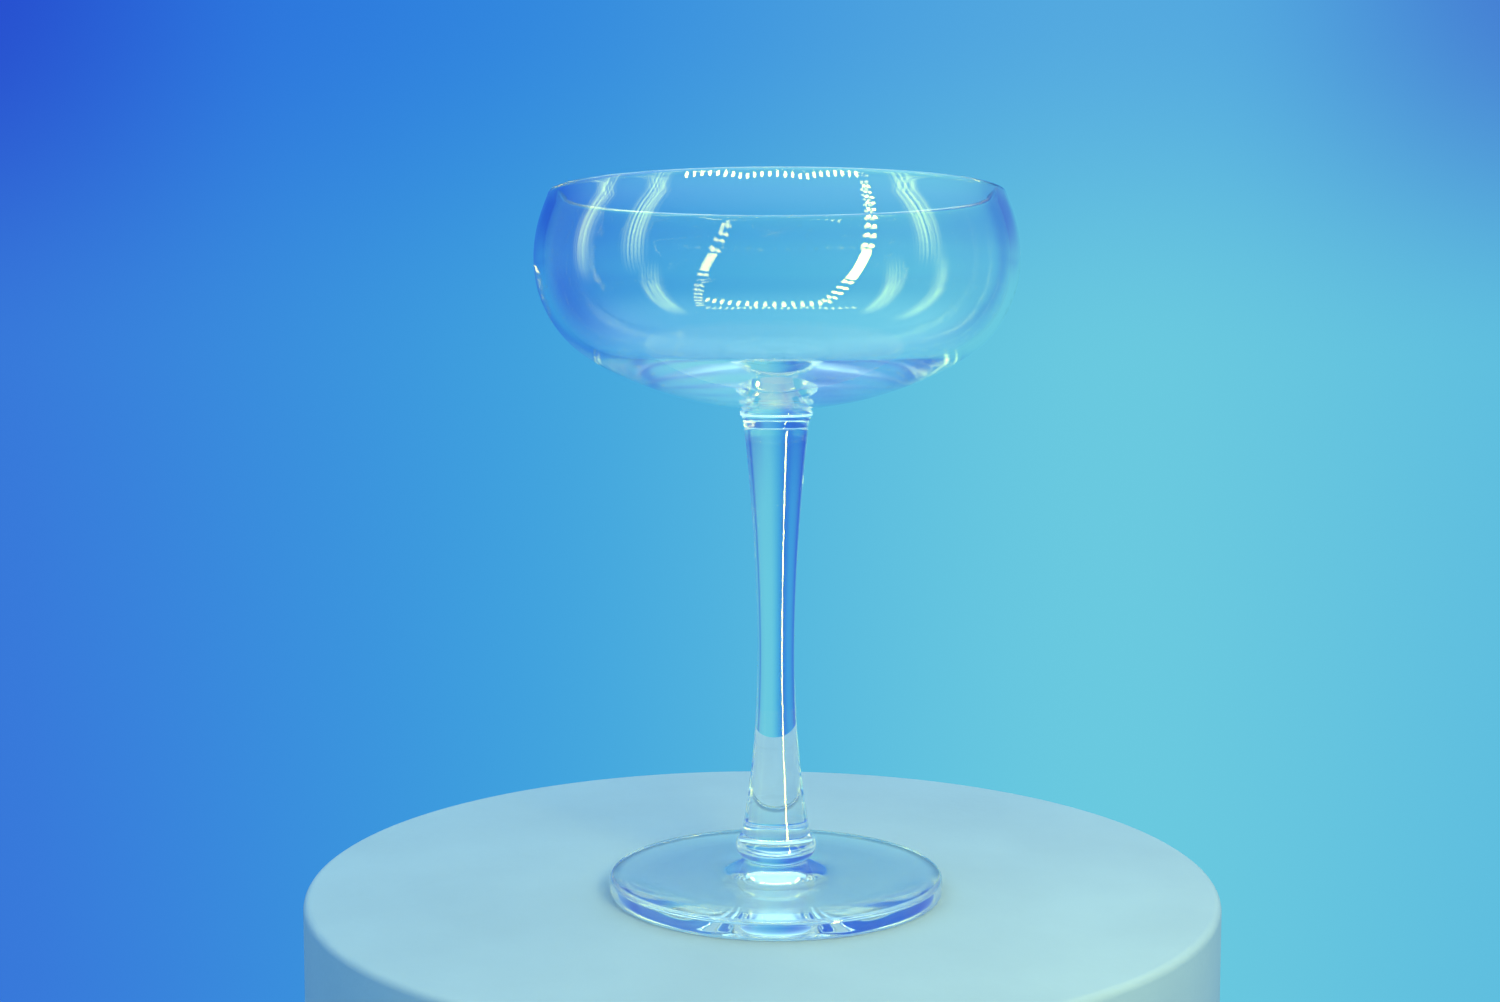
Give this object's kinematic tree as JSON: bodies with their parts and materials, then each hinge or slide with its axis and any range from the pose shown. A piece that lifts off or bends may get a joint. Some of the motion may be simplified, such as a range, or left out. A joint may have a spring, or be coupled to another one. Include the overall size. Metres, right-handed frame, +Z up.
{
  "type": "champagne coupe glass",
  "caption": "Clear saucer-shaped champagne glass: a shallow bowl with a rounded lip on a slender flared stem and a flat disc foot.",
  "frame": {"origin": "middle of the plane that the foot stands on, on the glass's upright axis", "axes": "+Z up along the glass's axis of symmetry, from the foot to the rim; X and Y are alike"},
  "size_m": [0.1024, 0.1024, 0.15],
  "materials": {
    "clear_glass": "clear, colourless, fire-polished"
  },
  "bodies": {
    "root": {"bowl": "clear_glass", "collar": "clear_glass", "stem": "clear_glass", "foot": "clear_glass"}
  },
  "joints": []
}
